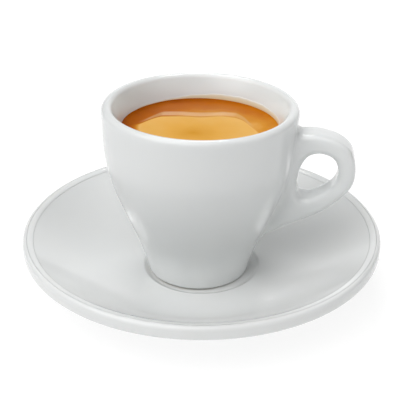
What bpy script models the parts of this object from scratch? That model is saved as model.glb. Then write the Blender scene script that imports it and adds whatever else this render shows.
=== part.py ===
"""Espresso shot in a thick white porcelain cup, standing on its saucer.

Three pieces: the saucer with its raised rim and the shallow well that keeps the cup in
place, the cup cast in one piece with its pierced handle, and the drink inside it.

Sizes are in millimetres and are turned to metres where a mesh is made. Z is up, and the
origin is the middle of the saucer's foot, on the table. The handle points along +X.
"""

import math

import bmesh
import bpy

MM = 0.001
TURN_STEPS = 60
MERGE_DISTANCE = 0.01
TOUCH_GAP = 0.3
SHARP_ANGLE = 40.0

# Saucer
SAUCER_RADIUS = 60.0
SAUCER_HEIGHT = 20.2
RIM_WIDTH = 3.7
RIM_DEPTH = 4.7
RIM_ROUND = 1.65
RIM_STEP = 1.9
WELL_RADIUS = 21.3
WELL_DEPTH = 1.6
WELL_ROUND = 1.0
WELL_CORNER = 0.6
WELL_FLOOR = 4.3
DISH_POWER = 2.0
DISH_RINGS = 7
PLATE_THICKNESS = 4.0
UNDER_RINGS = 5
SAUCER_FOOT_OUTER = 31.0
SAUCER_FOOT_INNER = 27.8
SAUCER_FOOT_ROUND = 0.8
SAUCER_FOOT_HEIGHT = 2.4
SAUCER_UNDER_CENTRE = 1.2

# Cup, with heights measured from the plane of its foot. It stands a little to one side of
# the well, and leans very slightly towards its handle.
CUP_SHIFT = -1.2
CUP_LEAN = 0.8
CUP_HEIGHT = 58.9
LIP_ROUND = 1.8
LIP_RADIUS = 31.5
UPPER_SLOPE = 0.03
CONE_START = 15.8
CONE_SLOPE = 0.404
FOOT_WALL = 15.4
SHOULDER_BLEND = 3.8
FOOT_BLEND = 6.4
FOOT_CONTACT = 16.9
FOOT_ROUND = 0.6
FOOT_RING_INNER = 13.6
FOOT_RECESS = 2.0
FOOT_TAPER = 0.8
CUP_BASE = WELL_FLOOR + TOUCH_GAP + FOOT_CONTACT * math.sin(math.radians(CUP_LEAN))

# The outer wall's rings, closer together where the wall bends.
WALL_HEIGHTS = (51.0, 45.0, 41.5, 39.0, 37.0, 35.0, 33.0, 30.0, 24.0, 18.0, 12.0, 8.0, 5.0, 3.0)

# Bowl of the cup: a half ellipse up to about the drink's level, then flaring to the lip
BOWL_RADIUS = 25.4
BOWL_TOP = 50.7
BOWL_DEPTH = 42.7
BOWL_RINGS = 8
LIP_FLARE_SHARES = (0.3, 0.6, 0.85)
LIP_FLARE_POWER = 1.4

# Drink
DRINK_LEVEL = 50.6
DRINK_SIDE_TOP = 49.6

# Handle
HANDLE_HALF_WIDTH = 5.0
HANDLE_ROUND = 2.1
HANDLE_ARC_STEPS = 3
HANDLE_FACE_STEPS = 5
HANDLE_SECTIONS_BETWEEN = 3
FLARE_WIDTH = 4.0
FLARE_REACH = 6.0
FLARE_TOP = 51.0
FLARE_BOTTOM = 20.0
FLARE_RAMP = 10.0

# Each row is one section of the handle: where it meets the outer edge and where it meets
# the finger hole, as distance from the cup's axis and height. The last three rows and the
# first have their outer end inside the cup's wall.
HANDLE_ROWS = (
    ((28.8, 50.8), (34.4, 43.7)),
    ((33.4, 52.0), (36.2, 45.3)),
    ((38.5, 52.0), (38.8, 45.9)),
    ((44.3, 50.4), (41.7, 45.3)),
    ((48.5, 47.0), (43.8, 43.6)),
    ((50.2, 41.8), (44.9, 40.7)),
    ((50.1, 36.8), (44.8, 37.4)),
    ((48.5, 33.2), (43.6, 34.7)),
    ((45.2, 29.4), (41.0, 32.2)),
    ((39.6, 24.9), (38.1, 30.4)),
    ((31.6, 20.6), (35.6, 29.6)),
    ((19.8, 15.6), (33.2, 30.2)),
    ((24.6, 33.0), (32.1, 33.4)),
    ((27.6, 44.0), (32.6, 39.6)),
)

PORCELAIN_COLOUR = (0.86, 0.87, 0.86)
PORCELAIN_ROUGHNESS = 0.08
CREMA_COLOUR = (0.60, 0.27, 0.06)
CREMA_ROUGHNESS = 0.25


def clear_scene():
    for thing in list(bpy.data.objects):
        bpy.data.objects.remove(thing)


def glazed(name, colour, roughness):
    """A smooth, shiny, non-metal finish."""
    material = bpy.data.materials.new(name)
    material.use_nodes = True
    shader = material.node_tree.nodes["Principled BSDF"]
    shader.inputs["Base Color"].default_value = (*colour, 1.0)
    shader.inputs["Roughness"].default_value = roughness
    shader.inputs["Metallic"].default_value = 0.0
    material.diffuse_color = (*colour, 1.0)
    return material


def soft_min(a, b, blend):
    """The smaller of two lines, with their corner rounded off."""
    return min(a, b) - max(blend - abs(a - b), 0.0) ** 2 / (4 * blend)


def soft_max(a, b, blend):
    return -soft_min(-a, -b, blend)


def arc(centre, radius, start, end, steps):
    """Points on a circle in the profile's plane, with the angles in degrees."""
    points = []
    for angle in spread(start, end, steps):
        turn = math.radians(angle)
        points.append((centre[0] + radius * math.cos(turn), centre[1] + radius * math.sin(turn)))
    return points


def spread(start, end, steps):
    """Evenly spaced values from start to end, both included."""
    return [start + (end - start) * step / steps for step in range(steps + 1)]


def shade_round(mesh):
    mesh.shade_smooth()
    mesh.set_sharp_from_angle(angle=math.radians(SHARP_ANGLE))


def turned(name, profile, material):
    """A solid of revolution. The profile runs from the axis, outwards, down and back to it."""
    mesh = bpy.data.meshes.new(name)
    points = [(radius * MM, 0.0, height * MM) for radius, height in profile]
    edges = [(index, index + 1) for index in range(len(points) - 1)]
    mesh.from_pydata(points, edges, [])
    mesh.materials.append(material)
    solid = bpy.data.objects.new(name, mesh)
    bpy.context.scene.collection.objects.link(solid)
    screw = solid.modifiers.new("Turn", "SCREW")
    screw.axis = "Z"
    screw.angle = math.tau
    screw.steps = TURN_STEPS
    screw.render_steps = TURN_STEPS
    screw.use_merge_vertices = True
    screw.merge_threshold = MERGE_DISTANCE * MM
    screw.use_smooth_shade = True
    return solid


def stand_in_well(piece):
    """Puts what belongs to the cup in its place, leaning with the cup."""
    piece.location = (CUP_SHIFT * MM, 0.0, CUP_BASE * MM)
    piece.rotation_euler = (0.0, math.radians(CUP_LEAN), 0.0)


def dish_height(radius):
    """The saucer's upper side between the well and the rim: flat at first, then rising."""
    foot = WELL_FLOOR + WELL_DEPTH
    top = SAUCER_HEIGHT - RIM_STEP
    across = (radius - WELL_RADIUS) / (SAUCER_RADIUS - RIM_WIDTH - WELL_RADIUS)
    return foot + (top - foot) * max(across, 0.0) ** DISH_POWER


def well_points():
    """The flat floor under the cup, and the rounded ring that keeps the cup in place."""
    step = dish_height(WELL_RADIUS) - WELL_ROUND
    floor_edge = WELL_RADIUS - WELL_ROUND - WELL_CORNER
    return [(0.0, WELL_FLOOR), (floor_edge, WELL_FLOOR)] + arc((WELL_RADIUS, step), WELL_ROUND, 180, 90, 3)


def rim_points():
    """The thick rounded band along the saucer's edge, from its inner side over and under."""
    crown = SAUCER_HEIGHT - RIM_ROUND
    under = SAUCER_HEIGHT - RIM_DEPTH + RIM_ROUND
    middle = SAUCER_RADIUS - RIM_ROUND
    inner = SAUCER_RADIUS - RIM_WIDTH + RIM_ROUND
    points = arc((inner, crown), RIM_ROUND, 185, 90, 4)
    points += arc((middle, crown), RIM_ROUND, 90, 0, 4)
    points += arc((middle, under), RIM_ROUND, 0, -90, 3)
    return points


def foot_points(outer, inner, round_over):
    """The underside of a foot ring, from its outer wall to its inner one."""
    points = arc((outer - round_over, round_over), round_over, 0, -90, 2)
    points += arc((inner + round_over, round_over), round_over, 270, 180, 2)
    return points


def saucer_profile():
    points = well_points()
    dish_start = WELL_RADIUS + 2 * WELL_ROUND
    dish_end = SAUCER_RADIUS - RIM_WIDTH - RIM_ROUND / 2
    for radius in spread(dish_start, dish_end, DISH_RINGS):
        points.append((radius, dish_height(radius)))
    points += rim_points()
    under_start = SAUCER_RADIUS - RIM_WIDTH - RIM_ROUND
    under_end = SAUCER_FOOT_OUTER + 2 * SAUCER_FOOT_ROUND
    for radius in spread(under_start, under_end, UNDER_RINGS):
        points.append((radius, dish_height(radius) - PLATE_THICKNESS))
    points.append((SAUCER_FOOT_OUTER, SAUCER_FOOT_HEIGHT))
    points += foot_points(SAUCER_FOOT_OUTER, SAUCER_FOOT_INNER, SAUCER_FOOT_ROUND)
    points.append((SAUCER_FOOT_INNER - SAUCER_FOOT_ROUND, SAUCER_UNDER_CENTRE))
    points.append((0.0, SAUCER_UNDER_CENTRE))
    return points


def wall_radius(height):
    """The cup's outside: an upright foot, a straight cone and a nearly upright upper part."""
    cone = CONE_START + CONE_SLOPE * height
    upper = LIP_RADIUS - UPPER_SLOPE * (CUP_HEIGHT - LIP_ROUND - height)
    return soft_max(FOOT_WALL, soft_min(cone, upper, SHOULDER_BLEND), FOOT_BLEND)


def bowl_curve(gap):
    """The inside of the cup from its lowest point up, as a quarter of an ellipse."""
    points = [(0.0, BOWL_TOP - BOWL_DEPTH + gap)]
    for angle in spread(-90, 0, BOWL_RINGS)[1:]:
        turn = math.radians(angle)
        points.append(((BOWL_RADIUS - gap) * math.cos(turn),
                       BOWL_TOP + (BOWL_DEPTH - gap) * math.sin(turn)))
    return points


def cup_profile():
    lip_height = CUP_HEIGHT - LIP_ROUND
    lip_centre = LIP_RADIUS - LIP_ROUND
    flare = lip_centre - LIP_ROUND - BOWL_RADIUS
    points = bowl_curve(0.0)
    for share in LIP_FLARE_SHARES:
        height = BOWL_TOP + (lip_height - BOWL_TOP) * share
        points.append((BOWL_RADIUS + flare * share ** LIP_FLARE_POWER, height))
    points += arc((lip_centre, lip_height), LIP_ROUND, 180, 0, 6)
    points += [(wall_radius(height), height) for height in WALL_HEIGHTS]
    foot_edge = wall_radius(FOOT_ROUND)
    points += foot_points(foot_edge, FOOT_RING_INNER, FOOT_ROUND)
    points += [(FOOT_RING_INNER - FOOT_TAPER, FOOT_RECESS), (0.0, FOOT_RECESS)]
    return points


def through(stations, share):
    """A point on the smooth closed curve through the stations, share running from 0 to 1."""
    count = len(stations)
    place = share * count
    first = int(place) % count
    t = place - int(place)
    before, start, end, after = (stations[(first + step) % count] for step in (-1, 0, 1, 2))
    point = []
    for a, b, c, d in zip(before, start, end, after):
        bend = (2 * a - 5 * b + 4 * c - d) * t * t
        twist = (3 * b - a - 3 * c + d) * t ** 3
        point.append((2 * b + (c - a) * t + bend + twist) / 2)
    return point


def half_width(across, height):
    """Half the handle's width. It flares where its middle runs into the cup."""
    root = math.sqrt(wall_radius(height) ** 2 - HANDLE_HALF_WIDTH ** 2)
    near = 1 - max(across - root, 0.0) / FLARE_REACH
    inside = min(FLARE_TOP - height, height - FLARE_BOTTOM) / FLARE_RAMP
    return HANDLE_HALF_WIDTH + FLARE_WIDTH * max(near, 0.0) ** 2 * min(max(inside, 0.0), 1.0)


def handle_section(hole_edge, outer_edge):
    """One closed loop of points round the handle, from the hole's edge out and back."""
    length = math.dist(hole_edge, outer_edge)
    along = [(outer_edge[axis] - hole_edge[axis]) / length for axis in (0, 1)]
    front = []
    for angle in spread(0, 90, HANDLE_ARC_STEPS):
        turn = math.radians(angle)
        front.append((HANDLE_ROUND * (1 - math.cos(turn)), HANDLE_ROUND * (1 - math.sin(turn))))
    for distance in spread(HANDLE_ROUND, length - HANDLE_ROUND, HANDLE_FACE_STEPS)[1:-1]:
        front.append((distance, 0.0))
    for distance, inset in reversed(front[:HANDLE_ARC_STEPS + 1]):
        front.append((length - distance, inset))
    loop = []
    for side, row in ((-1, front), (1, front[::-1])):
        for distance, inset in row:
            across = hole_edge[0] + along[0] * distance
            height = hole_edge[1] + along[1] * distance
            loop.append((across, side * (half_width(across, height) - inset), height))
    return loop


def make_handle(material):
    """The pierced handle as one ring of sections, still a separate body."""
    outer_edges = [row[0] for row in HANDLE_ROWS]
    hole_edges = [row[1] for row in HANDLE_ROWS]
    count = len(HANDLE_ROWS) * HANDLE_SECTIONS_BETWEEN
    form = bmesh.new()
    loops = []
    for index in range(count):
        share = index / count
        section = handle_section(through(hole_edges, share), through(outer_edges, share))
        loops.append([form.verts.new([value * MM for value in point]) for point in section])
    for index, loop in enumerate(loops):
        following = loops[(index + 1) % count]
        for corner in range(len(loop)):
            beside = (corner + 1) % len(loop)
            form.faces.new((loop[corner], loop[beside], following[beside], following[corner]))
    bmesh.ops.recalc_face_normals(form, faces=form.faces)
    mesh = bpy.data.meshes.new("handle")
    form.to_mesh(mesh)
    form.free()
    mesh.materials.append(material)
    handle = bpy.data.objects.new("handle", mesh)
    stand_in_well(handle)
    handle.hide_render = True
    handle.display_type = "WIRE"
    bpy.context.scene.collection.objects.link(handle)
    return handle


def make_saucer(material):
    return turned("saucer", saucer_profile(), material)


def make_cup(material):
    """The cup's turned body, with the handle joined on."""
    cup = turned("cup", cup_profile(), material)
    stand_in_well(cup)
    join = cup.modifiers.new("Join handle", "BOOLEAN")
    join.operation = "UNION"
    join.solver = "EXACT"
    join.object = make_handle(material)
    return cup


def make_espresso(material):
    """The drink fills the bowl up to its level, a hair's breadth clear of the wall."""
    edge = BOWL_RADIUS - TOUCH_GAP
    below = [point for point in bowl_curve(TOUCH_GAP) if point[1] < DRINK_SIDE_TOP]
    profile = [(0.0, DRINK_LEVEL), (edge / 2, DRINK_LEVEL), (edge, DRINK_LEVEL)] + below[::-1]
    drink = turned("espresso", profile, material)
    stand_in_well(drink)
    return drink


clear_scene()
porcelain = glazed("white porcelain glaze", PORCELAIN_COLOUR, PORCELAIN_ROUGHNESS)
coffee = glazed("coffee crema", CREMA_COLOUR, CREMA_ROUGHNESS)
make_saucer(porcelain)
make_cup(porcelain)
make_espresso(coffee)
for piece in bpy.data.objects:
    if piece.type == "MESH":
        shade_round(piece.data)
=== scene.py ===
# %% [markdown]
# # An espresso in its thick white cup, on the saucer
#
# The cup, the saucer and the drink were built first as plain solids with the right sizes.
# This lesson dresses them: fine smooth porcelain in place of the faceted one, a wet crema
# with its rim on the wall, soft studio light and the camera. Sizes are written in
# millimetres and turned into Blender's metres where a mesh is made.

# %% Load the solids that everything is fitted to
import math

import bmesh
import bpy
import numpy as np
from mathutils import Matrix, Vector


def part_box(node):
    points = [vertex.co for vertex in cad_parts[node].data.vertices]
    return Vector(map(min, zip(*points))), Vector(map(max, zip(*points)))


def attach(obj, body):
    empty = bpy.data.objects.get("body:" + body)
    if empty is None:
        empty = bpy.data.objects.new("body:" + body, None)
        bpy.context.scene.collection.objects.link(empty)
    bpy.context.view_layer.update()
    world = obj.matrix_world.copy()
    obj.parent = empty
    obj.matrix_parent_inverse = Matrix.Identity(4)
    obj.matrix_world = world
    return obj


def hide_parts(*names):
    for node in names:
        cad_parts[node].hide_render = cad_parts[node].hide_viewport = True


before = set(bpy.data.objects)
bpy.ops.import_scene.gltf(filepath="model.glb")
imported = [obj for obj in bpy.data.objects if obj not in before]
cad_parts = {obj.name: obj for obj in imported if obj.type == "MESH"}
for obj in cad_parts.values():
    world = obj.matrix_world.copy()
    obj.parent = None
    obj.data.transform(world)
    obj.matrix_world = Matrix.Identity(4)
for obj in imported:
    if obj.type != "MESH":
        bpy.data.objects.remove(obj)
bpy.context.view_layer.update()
MM = 0.001
saucer_low, saucer_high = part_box("saucer")
print("pieces to dress:", sorted(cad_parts))

# %% [markdown]
# ## The camera
#
# The photograph was taken from a little above the rim, with a longish lens close to the
# cup. A camera is set by where it looks, how far round and how far up it stands, and how
# far away it is: those four are easier to reason about than raw coordinates.

# %% Place the camera
VIEW_TURN = math.radians(8.0)
VIEW_RISE = math.radians(27.334)
VIEW_DISTANCE = 281.88
VIEW_TARGET = Vector((-0.505, -0.071, 29.3))
SENSOR_WIDTH = 36.0
FOCAL_LENGTH = 75.56

towards_camera = Vector((math.sin(VIEW_TURN) * math.cos(VIEW_RISE),
                         -math.cos(VIEW_TURN) * math.cos(VIEW_RISE),
                         math.sin(VIEW_RISE)))
camera = bpy.data.objects.new("camera", bpy.data.cameras.new("camera"))
bpy.context.scene.collection.objects.link(camera)
camera.location = (VIEW_TARGET + towards_camera * VIEW_DISTANCE) * MM
camera.rotation_euler = towards_camera.to_track_quat("Z", "Y").to_euler()
camera.data.sensor_width = SENSOR_WIDTH
camera.data.lens = FOCAL_LENGTH
camera.data.clip_start = 0.01
bpy.context.scene.camera = camera
print("camera stands at", [round(value / MM) for value in camera.location], "mm")

# %% [markdown]
# ## Two helpers for materials
#
# Colours are picked as sRGB hex values, the way a colour picker shows them, while shaders
# work in linear light, so one function converts. The other adds a node with its settings
# and its links in one line, which keeps each material short enough to read.


# %% Helpers for colours and nodes
def linear(code, alpha=1.0):
    """A linear colour from an sRGB hex code such as "C8742A"."""
    channels = []
    for start in (0, 2, 4):
        value = int(code[start:start + 2], 16) / 255
        channels.append(value / 12.92 if value <= 0.04045 else ((value + 0.055) / 1.055) ** 2.4)
    return (*channels, alpha)


def add(tree, kind, settings=None, sockets=None, links=None):
    """Adds one node: its settings, its sockets' values, and links from other nodes' outputs."""
    node = tree.nodes.new(kind)
    for name, value in (settings or {}).items():
        setattr(node, name, value)
    for name, value in (sockets or {}).items():
        node.inputs[name].default_value = value
    for name, source in (links or {}).items():
        tree.links.new(source, node.inputs[name])
    return node


def new_material(name, sockets):
    """A material with its Principled shader, whose plain values are given by socket name."""
    material = bpy.data.materials.new(name)
    material.use_nodes = True
    shader = material.node_tree.nodes["Principled BSDF"]
    for socket, value in sockets.items():
        shader.inputs[socket].default_value = value
    return material, material.node_tree, shader


print("crema brown in linear light:", [round(value, 3) for value in linear("B4651C")[:3]])

# %% [markdown]
# ## Vitrified porcelain under a clear glaze
#
# The cup and saucer are thick hotel porcelain: cast or pressed clay, fired until it is
# glassy right through, under a clear glossy glaze. The glaze is glass, so its index of
# refraction is 1.5 and its roughness is close to nothing, and light that gets in comes
# out again a little way off, which softens the shadows. The colour is a cool white. A real
# glaze also flows a little before it sets. That leaves a very low waviness some
# millimetres across, which shows only in the reflections, so it is a faint bump, with an
# equally faint drift in colour and gloss. Inside the bowl the white is painted a little
# brighter and cooler, and very faintly so on the outside. This is painted light: it stands
# in for light on the inner wall and offsets the warm light the crema throws there. A value
# stored on the cup's points says where.

# %% Make the porcelain glaze
GLAZE_WAVE = 7.0
GLAZE_DRIFT = 26.0
GLAZE_RELIEF = 0.012

glaze, glaze_tree, glaze_shader = new_material("vitrified porcelain, clear gloss glaze", {
    "IOR": 1.5,
    "Metallic": 0.0,
    "Subsurface Weight": 0.12,
    "Subsurface Radius": (1.0, 0.95, 0.85),
    "Subsurface Scale": 1.2 * MM,
})
glaze_place = add(glaze_tree, "ShaderNodeTexCoord")
glaze_cloud = add(glaze_tree, "ShaderNodeTexNoise",
                  sockets={"Scale": 1 / (GLAZE_DRIFT * MM), "Detail": 2.0},
                  links={"Vector": glaze_place.outputs["Object"]})
glaze_white = add(glaze_tree, "ShaderNodeMix", settings={"data_type": "RGBA"},
                  sockets={"A": linear("DFE1E1"), "B": linear("E3E4E3")},
                  links={"Factor": glaze_cloud.outputs["Fac"]})
# Painted light: a brighter, cooler white is mixed in inside the bowl, by a value stored on the cup's points.
bowl_painted_light = add(glaze_tree, "ShaderNodeAttribute", settings={"attribute_name": "bowl_painted_light"})
glaze_colour = add(glaze_tree, "ShaderNodeMix", settings={"data_type": "RGBA"},
                   sockets={"B": linear("E7EEF0")},
                   links={"A": glaze_white.outputs["Result"], "Factor": bowl_painted_light.outputs["Fac"]})
glaze_gloss = add(glaze_tree, "ShaderNodeMapRange",
                  sockets={"From Min": 0.3, "From Max": 0.7, "To Min": 0.06, "To Max": 0.11},
                  links={"Value": glaze_cloud.outputs["Fac"]})
glaze_wave = add(glaze_tree, "ShaderNodeTexNoise",
                 sockets={"Scale": 1 / (GLAZE_WAVE * MM), "Detail": 1.0},
                 links={"Vector": glaze_place.outputs["Object"]})
glaze_bump = add(glaze_tree, "ShaderNodeBump",
                 sockets={"Strength": 0.5, "Distance": GLAZE_RELIEF * MM},
                 links={"Height": glaze_wave.outputs["Fac"]})
glaze_tree.links.new(glaze_colour.outputs["Result"], glaze_shader.inputs["Base Color"])
glaze_tree.links.new(glaze_gloss.outputs["Result"], glaze_shader.inputs["Roughness"])
glaze_tree.links.new(glaze_bump.outputs["Normal"], glaze_shader.inputs["Normal"])
print("glaze waves are", GLAZE_WAVE, "mm across")

# %% [markdown]
# ## The bare foot
#
# A glazed piece would stick to the kiln shelf, so potters wipe the ring it stands on. The
# bare clay there is matt, a shade creamier than the glaze, and has a fine grain. It only
# shows when the pieces are seen from below.

# %% Make the unglazed clay
CLAY_GRAIN = 0.5

bisque, bisque_tree, bisque_shader = new_material("unglazed porcelain foot", {
    "Base Color": linear("DCD6C8"),
    "Roughness": 0.75,
})
bisque_place = add(bisque_tree, "ShaderNodeTexCoord")
bisque_grain = add(bisque_tree, "ShaderNodeTexNoise",
                   sockets={"Scale": 1 / (CLAY_GRAIN * MM), "Detail": 3.0},
                   links={"Vector": bisque_place.outputs["Object"]})
bisque_bump = add(bisque_tree, "ShaderNodeBump",
                  sockets={"Strength": 0.6, "Distance": 0.05 * MM},
                  links={"Height": bisque_grain.outputs["Fac"]})
bisque_tree.links.new(bisque_bump.outputs["Normal"], bisque_shader.inputs["Normal"])
print("clay grain is", CLAY_GRAIN, "mm")

# %% [markdown]
# ## Tools for turned shapes
#
# Both porcelain pieces were formed on a turning mould, so both start as a profile: a line
# of points giving the distance from the axis and the height. Arcs round the edges, and
# two small functions blend one line softly into another, as wet clay does.


# %% Helpers for profiles
def spread(start, end, steps):
    """Evenly spaced values from start to end, both included."""
    return [start + (end - start) * step / steps for step in range(steps + 1)]


def arc(centre, radius, start, end, steps=12):
    """Points on a circle in the profile's plane, with the angles in degrees."""
    turns = [math.radians(angle) for angle in spread(start, end, steps)]
    return [(centre[0] + radius * math.cos(turn), centre[1] + radius * math.sin(turn)) for turn in turns]


def soft_min(a, b, blend):
    """The smaller of two values or arrays, with the change from one to the other rounded off."""
    return np.minimum(a, b) - np.maximum(blend - np.abs(a - b), 0.0) ** 2 / (4 * blend)


def soft_max(a, b, blend):
    return -soft_min(-a, -b, blend)


def turned(name, profile, steps):
    """A mesh turned about Z from a profile that starts and ends on the axis."""
    turns = [math.tau * step / steps for step in range(steps)]
    rings = profile[1:-1]
    points = [(radius * math.cos(turn), radius * math.sin(turn), height)
              for radius, height in rings for turn in turns]
    faces = []
    for ring in range(len(rings) - 1):
        for step in range(steps):
            beside = (step + 1) % steps
            inner = ring * steps
            outer = inner + steps
            faces.append((inner + step, outer + step, outer + beside, inner + beside))
    for (_, height), first, flip in ((profile[0], 0, False), (profile[-1], (len(rings) - 1) * steps, True)):
        points.append((0.0, 0.0, height))
        for step in range(steps):
            corner = (len(points) - 1, first + step, first + (step + 1) % steps)
            faces.append(corner[::-1] if flip else corner)
    mesh = bpy.data.meshes.new(name)
    mesh.from_pydata([[value * MM for value in point] for point in points], [], faces)
    mesh.shade_smooth()
    return mesh


def shown(name, mesh, node):
    """Puts a mesh in the scene as the piece that stands for one of the solids."""
    piece = bpy.data.objects.new(name, mesh)
    bpy.context.scene.collection.objects.link(piece)
    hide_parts(node)
    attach(piece, "root")
    print(name, "has", len(mesh.polygons), "faces")
    return piece


# %% [markdown]
# ## The saucer
#
# From the well under the cup the dish lies almost flat, then rises like a parabola to a
# thick rounded band at the rim. Where the band meets the dish, the glaze fills the corner,
# so a small hollow arc joins them. Below, the plate keeps the same thickness down to a
# foot ring. The profile runs from the middle of the upper side, over the rim and back
# along the underside, and is turned in fine steps so that the reflections stay clean.

# %% Draw the saucer's profile
SAUCER_RADIUS = (saucer_high.x - saucer_low.x) / 2 / MM
SAUCER_HEIGHT = saucer_high.z / MM
RIM_WIDTH = 4.6
RIM_DEPTH = 4.7
RIM_ROUND = 1.4
RIM_INNER_ROUND = 3.2
RIM_STEP = 0.96
RIM_HOLLOW = 8.0
WELL_RADIUS = 20.0
WELL_DEPTH = 0.8
WELL_WALL = 1.8
WELL_CURL = 1.6
WELL_CREST = 0.3
WELL_FLOOR = 4.3
PLATE_THICKNESS = 4.0
SAUCER_FOOT = (31.0, 27.8)
FOOT_ROUND = 0.8
SAUCER_UNDER_CENTRE = 1.2


def dish_height(radius):
    """The upper side between the well and the rim, and its slope."""
    foot = WELL_FLOOR + WELL_DEPTH
    run = SAUCER_RADIUS - 3.7 - WELL_RADIUS
    rise = SAUCER_HEIGHT - RIM_STEP - foot
    across = max(radius - WELL_RADIUS, 0.0) / run
    return foot + rise * across ** 2, 2 * rise * across / run


def well_height(radius):
    """The floor of the well, its hollow wall, and the crest where that meets the dish."""
    share = max(radius - WELL_RADIUS + WELL_WALL, 0.0) / WELL_WALL
    wall = WELL_FLOOR + WELL_DEPTH * share ** WELL_CURL
    return float(soft_min(wall, dish_height(radius)[0], WELL_CREST))


def hollow_under_rim(inner, crown):
    """Centre of the arc that touches the dish from above and the rim's inner round."""
    low, high = WELL_RADIUS, inner
    for _ in range(40):
        radius = (low + high) / 2
        height, slope = dish_height(radius)
        centre = (radius - RIM_HOLLOW * math.sin(math.atan(slope)),
                  height + RIM_HOLLOW * math.cos(math.atan(slope)))
        if math.dist(centre, (inner, crown)) > RIM_INNER_ROUND + RIM_HOLLOW:
            low = radius
        else:
            high = radius
    return centre, radius, math.degrees(math.atan(slope))


def saucer_profile():
    crown = SAUCER_HEIGHT - RIM_ROUND
    under = SAUCER_HEIGHT - RIM_DEPTH + RIM_ROUND
    middle = SAUCER_RADIUS - RIM_ROUND
    inner = SAUCER_RADIUS - RIM_WIDTH + RIM_INNER_ROUND
    inner_crown = SAUCER_HEIGHT - RIM_INNER_ROUND
    centre, touch, slope = hollow_under_rim(inner, inner_crown)
    facing = math.degrees(math.atan2(centre[1] - inner_crown, centre[0] - inner))
    points = [(0.0, WELL_FLOOR)]
    points += [(radius, WELL_FLOOR) for radius in spread(2.0, WELL_RADIUS - WELL_WALL - 0.1, 12)]
    crest = WELL_RADIUS + 1.0
    points += [(radius, well_height(radius)) for radius in spread(WELL_RADIUS - WELL_WALL, crest, 36)]
    points += [(radius, dish_height(radius)[0]) for radius in spread(crest, touch, 70)[1:-1]]
    points += arc(centre, RIM_HOLLOW, slope - 90, facing + 180 - 360, 20)
    points += arc((inner, inner_crown), RIM_INNER_ROUND, facing, 90, 14)
    points += arc((middle, crown), RIM_ROUND, 90, 0, 14)
    points += arc((middle, under), RIM_ROUND, 0, -90, 12)
    for radius in spread(SAUCER_RADIUS - 5.4, SAUCER_FOOT[0] + 1.6, 24):
        points.append((radius, dish_height(radius)[0] - PLATE_THICKNESS))
    points += [(SAUCER_FOOT[0] + 0.3, 2.9), (SAUCER_FOOT[0], 2.2)]
    points += arc((SAUCER_FOOT[0] - FOOT_ROUND, FOOT_ROUND), FOOT_ROUND, 0, -90, 8)
    points += arc((SAUCER_FOOT[1] + FOOT_ROUND, FOOT_ROUND), FOOT_ROUND, 270, 180, 8)
    points += [(radius, SAUCER_UNDER_CENTRE) for radius in spread(SAUCER_FOOT[1] - 0.6, 3.0, 10)]
    return points + [(0.0, SAUCER_UNDER_CENTRE)]


print("saucer profile has", len(saucer_profile()), "points")


# %% Turn the saucer
def bare_foot(mesh, height):
    """Gives the faces that stand on the shelf in the kiln the unglazed clay."""
    mesh.materials.append(glaze)
    mesh.materials.append(bisque)
    for face in mesh.polygons:
        face.material_index = int(face.normal.z < -0.9 and face.center.z < height * MM)


saucer_mesh = turned("saucer", saucer_profile()[::-1], 288)
bare_foot(saucer_mesh, 0.05)
shown("porcelain_saucer", saucer_mesh, "saucer")

# %% [markdown]
# ## The cup's body
#
# The outside is three simple lines that melt into each other: an upright foot, a straight
# cone and a nearly upright upper part. The bowl inside is half an ellipse that flares into
# a thick round lip. The cup stands a little to one side of the well and leans by less than
# a degree, so it is drawn upright first and set down at the very end.

# %% Draw the cup's outline
CUP_SHIFT = -1.2
CUP_LEAN = math.radians(0.8)
CUP_HEIGHT = 58.9
LIP_ROUND = 1.8
LIP_RADIUS = 31.5
UPPER_SLOPE = 0.03
CONE_START = 15.8
CONE_SLOPE = 0.404
FOOT_WALL = 15.4
SHOULDER_BLEND = 3.8
FOOT_BLEND = 6.4
CUP_FOOT_ROUND = 0.6
FOOT_RING_INNER = 13.6
FOOT_RECESS = 2.0
BOWL_RADIUS = 25.4
BOWL_TOP = 50.7
BOWL_DEPTH = 42.7
FLARE_POWER = 1.4
FLARE_ANGLE = 28.0
CUP_BASE = WELL_FLOOR + 0.3 + 16.9 * math.sin(CUP_LEAN)
set_down = Matrix.Translation((CUP_SHIFT * MM, 0, CUP_BASE * MM)) @ Matrix.Rotation(CUP_LEAN, 4, "Y")


def wall_radius(height):
    cone = CONE_START + CONE_SLOPE * height
    upper = LIP_RADIUS - UPPER_SLOPE * (CUP_HEIGHT - LIP_ROUND - height)
    return soft_max(FOOT_WALL, soft_min(cone, upper, SHOULDER_BLEND), FOOT_BLEND)


def bowl_radius(height):
    """Radius of the inner wall between the bowl's widest ring and the lip."""
    end_radius, end_height = arc((LIP_RADIUS - LIP_ROUND, CUP_HEIGHT - LIP_ROUND), LIP_ROUND,
                                 180 - FLARE_ANGLE, 0)[0]
    share = np.clip((height - BOWL_TOP) / (end_height - BOWL_TOP), 0.0, 1.0)
    return BOWL_RADIUS + (end_radius - BOWL_RADIUS) * share ** FLARE_POWER


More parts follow.
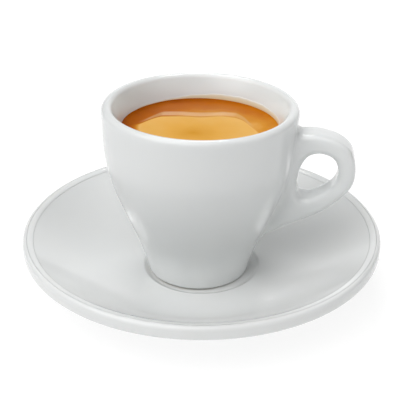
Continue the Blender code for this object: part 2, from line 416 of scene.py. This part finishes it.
def cup_profile():
    lip = (LIP_RADIUS - LIP_ROUND, CUP_HEIGHT - LIP_ROUND)
    flare_end = arc(lip, LIP_ROUND, 180 - FLARE_ANGLE, 0)[0][1]
    points = []
    for angle in spread(-90, 0, 40):
        turn = math.radians(angle)
        points.append((BOWL_RADIUS * math.cos(turn), BOWL_TOP + BOWL_DEPTH * math.sin(turn)))
    points += [(float(bowl_radius(height)), height) for height in spread(BOWL_TOP, flare_end, 14)[1:-1]]
    points += arc(lip, LIP_ROUND, 180 - FLARE_ANGLE, 0, 28)
    points += [(float(wall_radius(height)), height) for height in spread(lip[1], CUP_FOOT_ROUND, 90)[1:]]
    foot_edge = float(wall_radius(CUP_FOOT_ROUND)) - CUP_FOOT_ROUND
    points += arc((foot_edge, CUP_FOOT_ROUND), CUP_FOOT_ROUND, 0, -90, 6)[1:]
    points += arc((FOOT_RING_INNER + CUP_FOOT_ROUND, CUP_FOOT_ROUND), CUP_FOOT_ROUND, 270, 180, 6)
    return points + [(FOOT_RING_INNER - 0.8, FOOT_RECESS), (0.0, FOOT_RECESS)]


print("cup profile has", len(cup_profile()), "points")

# %% [markdown]
# ## The handle
#
# The handle is a flat strap with softened edges, wide where it runs into the body and
# pierced by a small finger hole. Seen from the side it is the area between two closed
# curves: its outer edge, whose left part is buried in the wall, and the edge of the hole.
# A few points on each are enough, because a smooth curve is drawn through them.

# %% Draw the handle's two edges
HANDLE_HALF_WIDTH = 5.0
HANDLE_ROUND = 2.1
OUTER_EDGE = ((28.8, 50.8), (33.4, 52.0), (38.5, 52.0), (44.3, 50.4), (48.5, 47.0),
              (50.2, 41.8), (50.1, 36.8), (48.5, 33.2), (45.2, 29.4), (39.6, 24.9),
              (31.6, 20.6), (19.8, 15.6), (24.6, 33.0), (27.6, 44.0))
HOLE_EDGE = ((34.4, 43.7), (36.2, 45.3), (38.8, 45.9), (41.7, 45.3), (43.8, 43.6),
             (44.9, 40.7), (44.8, 37.4), (43.6, 34.7), (41.0, 32.2), (38.1, 30.4),
             (35.6, 29.6), (33.2, 30.2), (32.1, 33.4), (32.6, 39.6))


def smooth_loop(stations, between=8):
    """Points along the smooth closed curve through the stations."""
    stations = np.array(stations)
    before, after, beyond = (np.roll(stations, shift, axis=0) for shift in (1, -1, -2))
    loop = []
    for share in np.arange(between) / between:
        bend = (2 * before - 5 * stations + 4 * after - beyond) * share ** 2
        twist = (3 * stations - before - 3 * after + beyond) * share ** 3
        loop.append((2 * stations + (after - before) * share + bend + twist) / 2)
    return np.stack(loop, axis=1).reshape(-1, 2)


outer_edge = smooth_loop(OUTER_EDGE)
hole_edge = smooth_loop(HOLE_EDGE)
print("finger hole is", np.ptp(hole_edge, axis=0).round(1), "mm wide and high")

# %% [markdown]
# ## One skin over body and handle
#
# A cast handle has no seam: slip and glaze fill the corner where it leaves the body. The
# way to get that in a mesh is to describe both shapes by their distance functions, which
# tell how far any point is outside the body or outside the handle. The soft minimum of
# the two is again a distance, to a shape in which they melt together. How wide the melt
# is can differ from place to place: here it is tight at the top of the strap and wide
# along its sides lower down.


# %% Describe the cup by distances
def outline_distance(points, outline):
    """Signed distance in a plane from points to a closed outline, negative inside it."""
    nearest = np.full(len(points), np.inf)
    inside = np.zeros(len(points), bool)
    for start, end in zip(outline, np.roll(outline, -1, axis=0)):
        step = end - start
        offset = points - start
        share = np.clip(offset @ step / max(step @ step, 1e-12), 0.0, 1.0)
        nearest = np.minimum(nearest, ((offset - share[:, None] * step) ** 2).sum(axis=1))
        if step[1] != 0:
            crossed = (start[1] > points[:, 1]) != (end[1] > points[:, 1])
            inside ^= crossed & (offset[:, 0] < offset[:, 1] * step[0] / step[1])
    return np.where(inside, -1.0, 1.0) * np.sqrt(nearest)


body_outline = np.array([(-8.0, BOWL_TOP - BOWL_DEPTH)] + cup_profile() + [(-8.0, FOOT_RECESS)])


def handle_distance(points):
    flat = points[:, [0, 2]]
    edge = np.maximum(outline_distance(flat, outer_edge), -outline_distance(flat, hole_edge)) + HANDLE_ROUND
    side = np.abs(points[:, 1]) - HANDLE_HALF_WIDTH + HANDLE_ROUND
    outside = np.hypot(np.maximum(edge, 0.0), np.maximum(side, 0.0))
    return np.minimum(np.maximum(edge, side), 0.0) + outside - HANDLE_ROUND


def ramp(value, low, high):
    """Rises smoothly from 0 at low to 1 at high."""
    share = np.clip((value - low) / (high - low), 0.0, 1.0)
    return share * share * (3 - 2 * share)


def cup_distance(points):
    """Distance to the cup with its handle, where the two melt into each other."""
    radius = np.hypot(points[:, 0], points[:, 1])
    body = outline_distance(np.stack([radius, points[:, 2]], axis=1), body_outline)
    distance = body.copy()
    near = (points[:, 0] > 8.0) & (np.abs(points[:, 1]) < 18.0) & (points[:, 2] < 56.0) & (points[:, 2] > 8.0)
    close = points[near]
    melt = 1.6 + 1.4 * ramp(close[:, 2], 51.0, 44.0) * ramp(np.abs(close[:, 1]), 2.5, 5.5)
    distance[near] = soft_min(body[near], handle_distance(close), melt)
    return distance


# %% [markdown]
# ## From distances to a mesh
#
# The faceted cup, cut into small even faces by a voxel remesh, supplies the mesh. Each of
# its points is then moved along the steepest way to where the distance is nothing, which
# is the true smooth surface. Between the moves the points are evened out a little, so that
# the grid of the voxels doesn't show in the glaze.

# %% Grow the cup's mesh
VOXEL = 0.57
SETTLE_ROUNDS = 5
PROBE = 0.01


def remeshed_cup():
    """The faceted cup stood upright on its own foot, as a mesh of small even faces."""
    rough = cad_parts["cup"].data.copy()
    rough.transform(set_down.inverted())
    helper = bpy.data.objects.new("cup_helper", rough)
    bpy.context.scene.collection.objects.link(helper)
    weld = helper.modifiers.new("Weld", "WELD")
    weld.merge_threshold = 0.001 * MM
    remesh = helper.modifiers.new("Remesh", "REMESH")
    remesh.mode = "VOXEL"
    remesh.voxel_size = VOXEL * MM
    evaluated = helper.evaluated_get(bpy.context.evaluated_depsgraph_get())
    fine = bpy.data.meshes.new_from_object(evaluated)
    bpy.data.objects.remove(helper)
    return fine


def read_points(mesh):
    points = np.empty(len(mesh.vertices) * 3)
    mesh.vertices.foreach_get("co", points)
    return points.reshape(-1, 3) / MM


def even_out(points, edges, amount):
    """Moves each point part of the way to the middle of its neighbours."""
    total = np.zeros_like(points)
    count = np.bincount(edges.ravel(), minlength=len(points))
    for a, b in ((0, 1), (1, 0)):
        for axis in range(3):
            total[:, axis] += np.bincount(edges[:, a], points[edges[:, b], axis], minlength=len(points))
    return points + amount * (total / count[:, None] - points)


def settle(points):
    """One step of each point towards the place where the cup's distance is nothing."""
    distance = cup_distance(points)
    uphill = np.stack([cup_distance(points + PROBE * axis) - distance for axis in np.eye(3)], axis=1) / PROBE
    steepness = np.maximum((uphill ** 2).sum(axis=1), 0.25)
    move = -distance / steepness
    return points + np.clip(move, -1.0, 1.0)[:, None] * uphill, np.abs(distance)


cup_mesh = remeshed_cup()
cup_points = read_points(cup_mesh)
cup_edges = np.empty(len(cup_mesh.edges) * 2, np.int32)
cup_mesh.edges.foreach_get("vertices", cup_edges)
cup_edges = cup_edges.reshape(-1, 2)
for settling in range(SETTLE_ROUNDS):
    if settling in (1, 2, 3):
        cup_points = even_out(cup_points, cup_edges, 0.5)
    cup_points, misses = settle(cup_points)
    print("round", settling, "furthest point was off by", round(float(misses.max()), 3), "mm")

# %% Set the cup down in the well
cup_mesh.name = "cup"
cup_mesh.materials.clear()
cup_mesh.vertices.foreach_set("co", (cup_points * MM).ravel())
cup_mesh.update()
# Painted light: each point of the cup gets a share of the brighter, cooler white, full inside the bowl and a
# little on the outside.
PAINTED_LIGHT_OUTSIDE = 0.08
inward = wall_radius(cup_points[:, 2]) - np.hypot(cup_points[:, 0], cup_points[:, 1])
in_bowl = ramp(inward, 2.6, 4.0) * ramp(cup_points[:, 2], 4.0, 8.0)
bowl_painted_light_share = PAINTED_LIGHT_OUTSIDE + (1 - PAINTED_LIGHT_OUTSIDE) * in_bowl
cup_mesh.attributes.new("bowl_painted_light", "FLOAT", "POINT").data.foreach_set("value", bowl_painted_light_share)
bare_foot(cup_mesh, 0.1)
cup_mesh.transform(set_down)
cup_mesh.shade_smooth()
shown("porcelain_cup", cup_mesh, "cup")

# %% [markdown]
# ## The crema
#
# An espresso's surface is not coffee but a foam of tiny bubbles wrapped in oils. It is
# opaque, golden in the middle and darker and redder towards the wall, where it is thin.
# It is wet, but mirrors only weakly, so its index of refraction is set lower than that of
# a real liquid, and part of what it would mirror is painted into its colour instead. The
# bubbles are far finer than a hair, so they only roughen the mirror a little. Values stored
# on the points say where the foam is gold or brown, where a paler gold inside the arch is
# painted reflection of the bright tent, and where a pale line along the arch's crest is a
# painted highlight.

# %% Mix the crema
CREMA_CLOUD = 9.0
CREMA_GRAIN = 0.35
DRINK_LEVEL = 50.6

crema, crema_tree, crema_shader = new_material("wet espresso crema", {
    "IOR": 1.09,
    "Roughness": 0.07,
    "Subsurface Weight": 0.1,
    "Subsurface Radius": (1.0, 0.45, 0.12),
    "Subsurface Scale": 0.8 * MM,
})
crema_place = add(crema_tree, "ShaderNodeTexCoord")
crema_cloud = add(crema_tree, "ShaderNodeTexNoise",
                  sockets={"Scale": 1 / (CREMA_CLOUD * MM), "Detail": 3.0, "Roughness": 0.55},
                  links={"Vector": crema_place.outputs["Object"]})
# The tone value holds the crema's own gold and brown, along with a paler gold inside the arch that is painted
# reflection.
crema_tone = add(crema_tree, "ShaderNodeAttribute", settings={"attribute_name": "tone"})
crema_drift = add(crema_tree, "ShaderNodeMath", settings={"operation": "MULTIPLY_ADD"},
                  sockets={1: 0.2}, links={0: crema_cloud.outputs["Fac"], 2: crema_tone.outputs["Fac"]})
crema_ramp = add(crema_tree, "ShaderNodeValToRGB", links={"Fac": crema_drift.outputs["Value"]})
CREMA_STOPS = ((0.0, "C68A26"), (0.25, "D6A048"), (0.45, "DBAB60"), (0.58, "C48326"), (0.7, "B2640A"),
               (0.85, "A35402"), (1.0, "863E02"))
for index, (position, code) in enumerate(CREMA_STOPS):
    stops = crema_ramp.color_ramp.elements
    stop = stops[index] if index < 2 else stops.new(position)
    stop.position = position
    stop.color = linear(code)
crema_grain = add(crema_tree, "ShaderNodeTexNoise",
                  sockets={"Scale": 1 / (CREMA_GRAIN * MM), "Detail": 2.0},
                  links={"Vector": crema_place.outputs["Object"]})
crema_bump = add(crema_tree, "ShaderNodeBump", sockets={"Strength": 0.25, "Distance": 0.02 * MM},
                 links={"Height": crema_grain.outputs["Fac"]})
# Painted highlight: a pale foam colour, CBAB7E, is mixed in along the step's crest by the crest value.
crema_painted_highlight = add(crema_tree, "ShaderNodeAttribute", settings={"attribute_name": "crest"})
crema_colour = add(crema_tree, "ShaderNodeMix", settings={"data_type": "RGBA"},
                   sockets={"B": linear("CBAB7E")},
                   links={"A": crema_ramp.outputs["Color"], "Factor": crema_painted_highlight.outputs["Fac"]})
crema_tree.links.new(crema_colour.outputs["Result"], crema_shader.inputs["Base Color"])
crema_tree.links.new(crema_bump.outputs["Normal"], crema_shader.inputs["Normal"])
print("crema bubbles are drawn", CREMA_GRAIN, "mm across, coarser than real, so that they show")

# %% [markdown]
# ## The drink's surface
#
# Where the foam meets the porcelain it is drawn up the wall by a fraction of a millimetre.
# Further in, the last of the pour has left a shallow step in the foam, an arch in front of
# the far wall that the light catches as a bright line. It is a little over half a
# millimetre high and is drawn as real height: a table of slopes across the arch is added
# up to heights. Along the step a paler foam colour is painted in as well, a painted
# highlight that strengthens that bright line. The drink is one closed piece,
# whose side follows the bowl and reaches a hair into the wall, so no gap of air can show.

# %% Pour the drink
DRINK_REACH = 0.12
MENISCUS_HEIGHT = 0.55
MENISCUS_WIDTH = 1.1
SWELL = 0.04
ARCH = ((-26.0, -2.0), (-19.5, 2.0), (-16.8, 6.5), (-14.2, 9.4), (-8.0, 10.5), (-1.7, 10.6),
        (1.3, 11.4), (5.7, 12.7), (10.2, 12.4), (13.1, 10.2), (15.5, 6.0), (22.0, -4.0))
SLOPES = ((-3.2, 0.0), (-2.2, -0.05), (-1.5, -0.12), (-1.2, 0.0), (-0.95, 0.3), (0.95, 0.33), (1.3, 0.0),
          (2.0, -0.08), (9.0, -0.06), (12.0, 0.0))
across_arch = np.linspace(-3.2, 12.0, 400)
arch_rise = np.cumsum(np.interp(across_arch, *zip(*SLOPES))) * (across_arch[1] - across_arch[0])
along_arch = np.linspace(-26.0, 22.0, 300)
arch_line = np.interp(along_arch, *zip(*ARCH))
smoothing = np.hanning(19) / np.hanning(19).sum()
arch_line = np.convolve(np.pad(arch_line, 9, "edge"), smoothing, "valid")


def drink_height(radius, turn):
    """Height of the crema over the cup's foot."""
    x = radius * math.cos(turn)
    y = radius * math.sin(turn)
    climb = MENISCUS_HEIGHT * math.exp((radius - BOWL_RADIUS) / MENISCUS_WIDTH)
    swell = SWELL * math.sin(0.21 * x + 1.0) * math.cos(0.17 * y)
    step = np.interp(y - np.interp(x, along_arch, arch_line), across_arch, arch_rise)
    fade = ramp(x, -18.0, -13.0) * ramp(x, 15.0, 10.0) * ramp(radius, 25.0, 20.0)
    return DRINK_LEVEL + climb + swell * (1 - radius / BOWL_RADIUS) + float(step * fade)


def crest_painted_highlight_share(radius, turn):
    """How far a painted highlight, a paler foam colour along the step's crest, covers a point."""
    x = radius * math.cos(turn)
    beside = radius * math.sin(turn) - np.interp(x, along_arch, arch_line)
    line = ramp(abs(beside), 1.5, 0.5) * ramp(x, -21.0, -17.0) * ramp(x, 17.5, 14.0)
    return 0.45 * float(line)


def tone_and_painted_reflection_share(radius, turn):
    """From 0, the palest gold inside the arch, part of it painted reflection of the bright tent, to 1, the
    brown along the wall.
    """
    x = radius * math.cos(turn)
    y = radius * math.sin(turn)
    behind_line = y - np.interp(x, along_arch, arch_line)
    # Painted reflection: inside the arch, where the wet crema would mirror the bright tent beyond the far
    # rim, the colour turns a paler gold. The crema's own gold still grows towards the middle, and the brown
    # along the wall grows darker towards the left and lighter towards the right.
    inside = ramp(behind_line, -0.9, -2.8) * ramp(math.hypot(x + 0.5, y), 22.5, 17.5)
    golden = 0.46 * (1 - math.exp(-math.hypot(0.7 * (x + 1.5), y + 4.5) / 8))
    brown = min(0.8 + 0.02 * (radius - 20) - 0.011 * max(x, 0.0) - 0.003 * min(x, 0.0), 1.0)
    return float(inside * golden + (1 - inside) * brown) - 0.1


def drink_mesh(rings=150, steps=320):
    edge = BOWL_RADIUS + DRINK_REACH
    points = [(0.0, 0.0, drink_height(0.0, 0.0))]
    for ring in range(1, rings + 1):
        radius = edge * (1 - (1 - ring / rings) ** 1.3)
        for step in range(steps):
            turn = math.tau * step / steps
            points.append((radius * math.cos(turn), radius * math.sin(turn), drink_height(radius, turn)))
    for angle in spread(-4, -86, 24):
        turn_down = math.radians(angle)
        radius = edge * math.cos(turn_down)
        height = BOWL_TOP + (BOWL_DEPTH + DRINK_REACH) * math.sin(turn_down)
        for step in range(steps):
            turn = math.tau * step / steps
            points.append((radius * math.cos(turn), radius * math.sin(turn), height))
    points.append((0.0, 0.0, BOWL_TOP - BOWL_DEPTH - DRINK_REACH))
    faces = [(0, 1 + step, 1 + (step + 1) % steps) for step in range(steps)]
    circles = (len(points) - 2) // steps
    for ring in range(circles - 1):
        first = 1 + ring * steps
        for step in range(steps):
            beside = (step + 1) % steps
            faces.append((first + step, first + steps + step, first + steps + beside, first + beside))
    last = len(points) - 1
    first = 1 + (circles - 1) * steps
    faces += [(last, first + (step + 1) % steps, first + step) for step in range(steps)]
    mesh = bpy.data.meshes.new("espresso")
    mesh.from_pydata([[value * MM for value in point] for point in points], [], faces)
    # The crest value marks the painted highlight along the step.
    crest = [crest_painted_highlight_share(math.hypot(x, y), math.atan2(y, x)) for x, y, height in points]
    mesh.attributes.new("crest", "FLOAT", "POINT").data.foreach_set("value", crest)
    # The tone value carries the crema's gold and brown together with the painted reflection inside the arch.
    tone = [tone_and_painted_reflection_share(math.hypot(x, y), math.atan2(y, x)) for x, y, height in points]
    mesh.attributes.new("tone", "FLOAT", "POINT").data.foreach_set("value", tone)
    mesh.materials.append(crema)
    mesh.shade_smooth()
    mesh.transform(set_down)
    return mesh


shown("espresso_crema", drink_mesh(), "espresso")

# %% [markdown]
# ## The film on the wall
#
# As the cup was filled and set down, the coffee washed up the far wall and left a thin
# tan film, highest behind the middle and to the right. It is a strip of its own that lies
# on the inner wall, a few hundredths of a millimetre thick and thinning to nothing at its
# upper edge. A value stored on its points tells the material how thin it is there, and the
# colour pales with it.

# %% Mix the film
film, film_tree, film_shader = new_material("dried coffee film on glaze", {
    "IOR": 1.45,
    "Roughness": 0.12,
})
film_depth = add(film_tree, "ShaderNodeAttribute", settings={"attribute_name": "depth"})
film_ramp = add(film_tree, "ShaderNodeValToRGB", links={"Fac": film_depth.outputs["Fac"]})
FILM_STOPS = ((0.0, "E4E7E5"), (0.25, "E2D8C0"), (0.7, "DCC99F"), (1.0, "BE8848"))
for index, (position, code) in enumerate(FILM_STOPS):
    stops = film_ramp.color_ramp.elements
    stop = stops[index] if index < 2 else stops.new(position)
    stop.position = position
    stop.color = linear(code)
film_tree.links.new(film_ramp.outputs["Color"], film_shader.inputs["Base Color"])

# %% Lay the film on the wall
FILM_START = -76.0
FILM_END = 88.0
FILM_THICKNESS = 0.06
FILM_ROWS = 10


def film_height(angle):
    """Height of the film's upper edge over the drink, by the angle from the far side."""
    rise = 0.9 + 1.45 * ramp(angle, -45.0, 15.0) - 0.5 * ramp(angle, 30.0, 75.0)
    ends = ramp(angle, FILM_START, FILM_START + 12) * ramp(angle, FILM_END, FILM_END - 14)
    wander = 0.07 * math.sin(angle * 0.31) + 0.05 * math.sin(angle * 0.83 + 1.0)
    return max((rise + wander) * ends, 0.02)


def film_mesh(columns=152):
    points = []
    depths = []
    for angle in spread(FILM_START, FILM_END, columns):
        turn = math.radians(90 - angle)
        for side in (0, 1):
            for row in range(FILM_ROWS + 1):
                share = row / FILM_ROWS
                height = DRINK_LEVEL - 0.2 + (film_height(angle) + 0.2) * share
                thick = FILM_THICKNESS * (1 - share ** 3) * side - 0.05 * (1 - side)
                radius = float(bowl_radius(height)) - thick
                points.append((radius * math.cos(turn), radius * math.sin(turn), height))
                depths.append(1 - share)
    row_count = FILM_ROWS + 1
    faces = []
    for column in range(columns):
        back = column * 2 * row_count
        front = back + row_count
        ahead = 2 * row_count
        for row in range(FILM_ROWS):
            faces.append((front + row, front + ahead + row, front + ahead + row + 1, front + row + 1))
            faces.append((back + row, back + row + 1, back + ahead + row + 1, back + ahead + row))
        faces.append((front, back, back + ahead, front + ahead))
        front_top = front + FILM_ROWS
        back_top = back + FILM_ROWS
        faces.append((front_top, front_top + ahead, back_top + ahead, back_top))
    for first, flip in ((0, False), (columns * 2 * row_count, True)):
        for row in range(FILM_ROWS):
            cap = (first + row, first + row_count + row, first + row_count + row + 1, first + row + 1)
            faces.append(cap[::-1] if flip else cap)
    mesh = bpy.data.meshes.new("coffee_film")
    mesh.from_pydata([[value * MM for value in point] for point in points], [], faces)
    mesh.attributes.new("depth", "FLOAT", "POINT").data.foreach_set("value", depths)
    mesh.materials.append(film)
    mesh.shade_smooth()
    mesh.transform(set_down)
    return mesh


film_piece = bpy.data.objects.new("coffee_film", film_mesh())
bpy.context.scene.collection.objects.link(film_piece)
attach(film_piece, "root")
print("film has", len(film_piece.data.polygons), "faces")

# %% [markdown]
# ## Floor and light
#
# Product photographs of white china are made in a tent of white paper: light comes from
# nearly everywhere, most of it through the paper in front on the left, and the white
# table glows. Porcelain mirrors whatever stands around it, so panels with hard edges would
# leave patches in the saucer. The tent is therefore drawn as a sky with three soft glows,
# each from how closely a direction agrees with the middle of the glow. One narrow softbox
# behind the cup draws the line of light on the crema's step.

# %% Lay the floor
FLOOR_HALF_WIDTH = 3.0
floor_mesh = bpy.data.meshes.new("floor")
form = bmesh.new()
bmesh.ops.create_grid(form, x_segments=1, y_segments=1, size=FLOOR_HALF_WIDTH)
form.to_mesh(floor_mesh)
form.free()
paper, paper_tree, paper_shader = new_material("matt white paper", {
    "Base Color": linear("909090"),
    "Roughness": 0.9,
    "Specular IOR Level": 0.1,
    "Emission Color": linear("FFFFFF"),
    "Emission Strength": 0.76,
})
floor_mesh.materials.append(paper)
floor = bpy.data.objects.new("floor", floor_mesh)
bpy.context.scene.collection.objects.link(floor)
print("floor is", floor.dimensions.x, "m wide")


# %% Hang the lights
def panel(name, place, aim, width, height, power):
    """A soft rectangular light at a place, aimed at a point, both in millimetres."""
    light = bpy.data.lights.new(name, "AREA")
    light.shape = "RECTANGLE"
    light.size = width * MM
    light.size_y = height * MM
    light.energy = power
    lamp = bpy.data.objects.new(name, light)
    bpy.context.scene.collection.objects.link(lamp)
    lamp.location = Vector(place) * MM
    lamp.rotation_euler = (Vector(place) - Vector(aim)).to_track_quat("Z", "Y").to_euler()
    return lamp


middle_of_cup = (0, 0, 35)
panel("back softbox", (-79, 373, 622), middle_of_cup, 270, 75, 1.3)
world = bpy.data.worlds.new("paper tent")
world.use_nodes = True
tent = world.node_tree


def direction(turn, rise):
    """A unit vector from a compass turn, measured from the front to the right, and a rise."""
    turn, rise = math.radians(turn), math.radians(rise)
    return (math.sin(turn) * math.cos(rise), -math.cos(turn) * math.cos(rise), math.sin(rise))


def glow(towards, start, full, faint, strong):
    """Brightness of the tent that grows softly towards one direction."""
    agree = add(tent, "ShaderNodeVectorMath", settings={"operation": "DOT_PRODUCT"}, sockets={1: towards},
                links={0: tent_direction.outputs["Generated"]})
    return add(tent, "ShaderNodeMapRange", settings={"interpolation_type": "SMOOTHSTEP"},
               sockets={"From Min": start, "From Max": full, "To Min": faint, "To Max": strong},
               links={"Value": agree.outputs["Value"]}).outputs["Result"]


tent_direction = add(tent, "ShaderNodeTexCoord")
glow_from_front_left = glow(direction(317, 57), 0.72, 1.0, 0.02, 3.15)
glow_from_right = glow(direction(72, 55), 0.72, 1.0, 0.0, 0.92)
glow_from_behind = glow(direction(172, -5), 0.72, 1.0, 0.0, 1.05)
upper_light = add(tent, "ShaderNodeMath", settings={"operation": "ADD"},
                  links={0: glow_from_front_left, 1: glow_from_right})
tent_light = add(tent, "ShaderNodeMath", settings={"operation": "ADD"},
                 links={0: upper_light.outputs["Value"], 1: glow_from_behind})
tent.links.new(tent_light.outputs["Value"], tent.nodes["Background"].inputs["Strength"])
tent.nodes["Background"].inputs["Color"].default_value = linear("FFFFFF")
bpy.context.scene.world = world
bpy.context.scene.view_settings.view_transform = "Standard"
